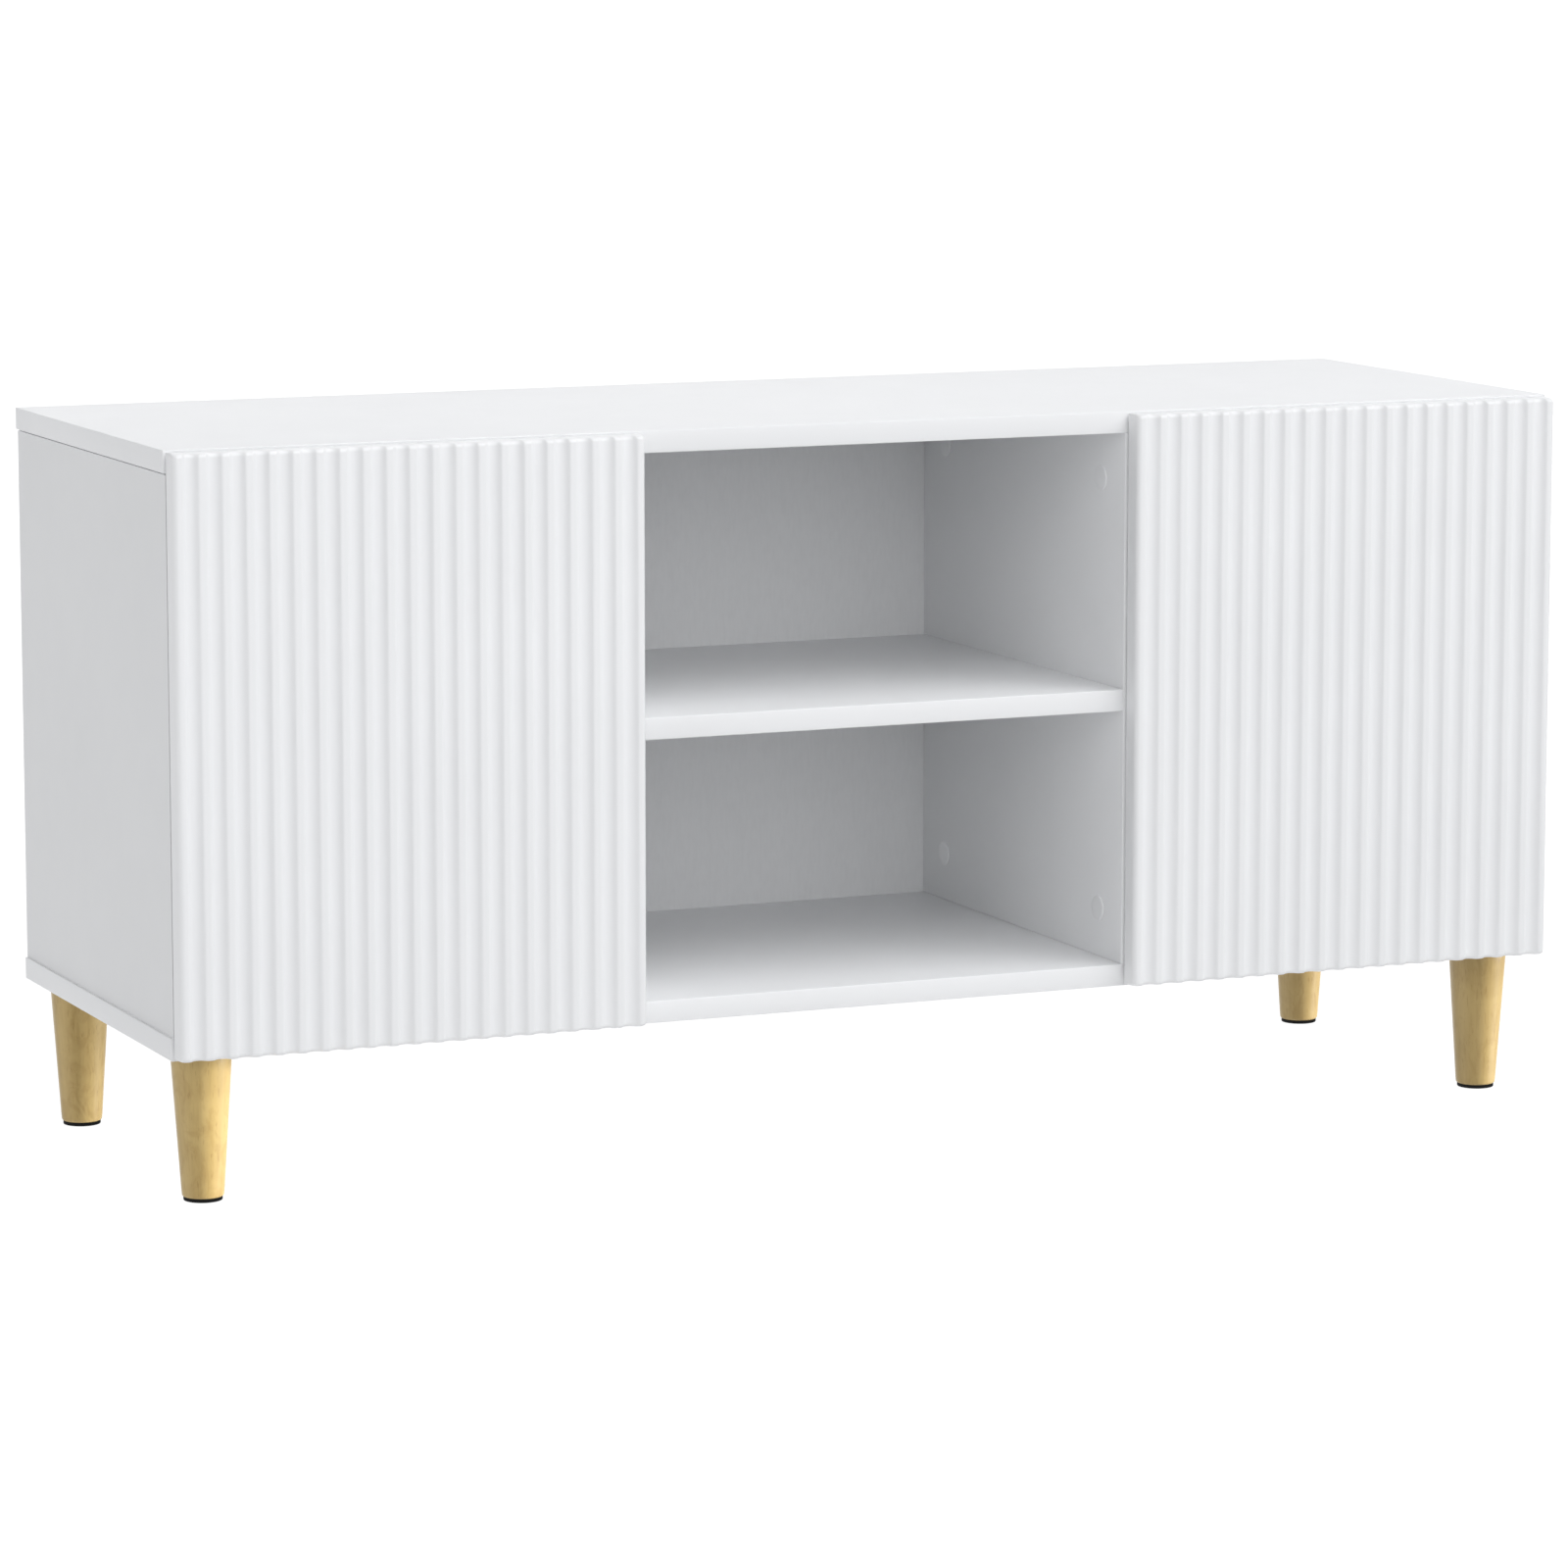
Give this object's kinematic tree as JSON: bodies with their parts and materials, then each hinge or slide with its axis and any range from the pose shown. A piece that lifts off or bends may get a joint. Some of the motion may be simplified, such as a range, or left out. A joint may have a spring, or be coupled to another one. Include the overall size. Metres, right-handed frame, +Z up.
{
  "type": "media cabinet",
  "caption": "Low white media cabinet with fluted push-to-open doors, an open middle bay with a shelf, and tapered wooden legs.",
  "frame": {"origin": "on the floor, at the middle of the cabinet box in width and depth", "axes": "+Z up, the doors face -Y, +X to the right seen from the front"},
  "size_m": [1.02, 0.35, 0.5],
  "materials": {
    "white_board": "smooth matt white foil and paint on board",
    "back_board": "thin white-faced fibreboard",
    "leg_wood": "clear satin lacquer on light beech",
    "pad_plastic": "black felt-faced plastic",
    "cap_plastic": "satin white plastic",
    "latch_plastic": "pale grey moulded plastic",
    "zinc_steel": "bright zinc plate",
    "nickel_steel": "nickel plate"
  },
  "bodies": {
    "carcass": {"top_panel": "white_board", "bottom_panel": "white_board", "side_panel_left": "white_board", "side_panel_right": "white_board", "divider_left": "white_board", "divider_right": "white_board", "centre_shelf": "white_board", "bay_shelf_left": "white_board", "bay_shelf_right": "white_board", "back_panel_left": "back_board", "back_panel_centre": "back_board", "back_panel_right": "back_board", "leg_front_left": "leg_wood", "leg_front_right": "leg_wood", "leg_back_left": "leg_wood", "leg_back_right": "leg_wood", "foot_pad_front_left": "pad_plastic", "foot_pad_front_right": "pad_plastic", "foot_pad_back_left": "pad_plastic", "foot_pad_back_right": "pad_plastic", "back_panel_nails": "zinc_steel", "leg_inserts": "zinc_steel", "leg_bolts": "zinc_steel", "cam_locks": "zinc_steel", "cam_bolts": "zinc_steel", "cam_caps": "cap_plastic", "panel_dowels": "leg_wood", "shelf_pins": "zinc_steel", "hinge_plates": "nickel_steel", "plate_screws": "zinc_steel", "hinge_arms": "nickel_steel", "adjust_screws": "zinc_steel", "hinge_pins": "nickel_steel", "latch_bodies": "latch_plastic", "latch_screws": "zinc_steel"},
    "left_door": {"door_left": "white_board", "hinge_cups_left": "nickel_steel", "cup_screws_left": "zinc_steel", "strike_plate_left": "zinc_steel"},
    "right_door": {"door_right": "white_board", "hinge_cups_right": "nickel_steel", "cup_screws_right": "zinc_steel", "strike_plate_right": "zinc_steel"},
    "left_outer_links": {"outer_links_left": "nickel_steel"},
    "right_outer_links": {"outer_links_right": "nickel_steel"},
    "left_inner_links": {"inner_links_left": "nickel_steel"},
    "right_inner_links": {"inner_links_right": "nickel_steel"},
    "left_plunger": {"latch_plunger_left": "latch_plastic"},
    "right_plunger": {"latch_plunger_right": "latch_plastic"}
  },
  "joints": [
    {"name": "left_door_hinge", "type": "hinge", "parent": "carcass", "child": "left_door", "pos_m": [-0.5027, -0.17, 0.3], "axis": [0, 0, -1], "range_deg": [0, 100]},
    {"name": "left_outer_link_turn", "type": "hinge", "parent": "carcass", "child": "left_outer_links", "pos_m": [-0.478, -0.16743, 0.3], "axis": [0, 0, 1], "range_deg": [0, 49]},
    {"name": "left_inner_link_turn", "type": "hinge", "parent": "carcass", "child": "left_inner_links", "pos_m": [-0.47345, -0.16686, 0.3], "axis": [0, 0, 1], "range_deg": [0, 31]},
    {"name": "left_latch_travel", "type": "slide", "parent": "carcass", "child": "left_plunger", "axis": [0, -1, 0], "range_m": [0, 0.021]},
    {"name": "right_door_hinge", "type": "hinge", "parent": "carcass", "child": "right_door", "pos_m": [0.5027, -0.17, 0.3], "axis": [0, 0, 1], "range_deg": [0, 100]},
    {"name": "right_outer_link_turn", "type": "hinge", "parent": "carcass", "child": "right_outer_links", "pos_m": [0.478, -0.16743, 0.3], "axis": [0, 0, -1], "range_deg": [0, 49]},
    {"name": "right_inner_link_turn", "type": "hinge", "parent": "carcass", "child": "right_inner_links", "pos_m": [0.47345, -0.16686, 0.3], "axis": [0, 0, -1], "range_deg": [0, 31]},
    {"name": "right_latch_travel", "type": "slide", "parent": "carcass", "child": "right_plunger", "axis": [0, -1, 0], "range_m": [0, 0.021]}
  ],
  "couplings": [
    {"joint": "left_outer_link_turn", "follows": "left_door_hinge", "ratio": 0.4865},
    {"joint": "left_inner_link_turn", "follows": "left_door_hinge", "ratio": 0.3013},
    {"joint": "left_latch_travel", "follows": "left_door_hinge", "m_per_rad": 0.01146},
    {"joint": "right_outer_link_turn", "follows": "right_door_hinge", "ratio": 0.4865},
    {"joint": "right_inner_link_turn", "follows": "right_door_hinge", "ratio": 0.3013},
    {"joint": "right_latch_travel", "follows": "right_door_hinge", "m_per_rad": 0.01146}
  ]
}
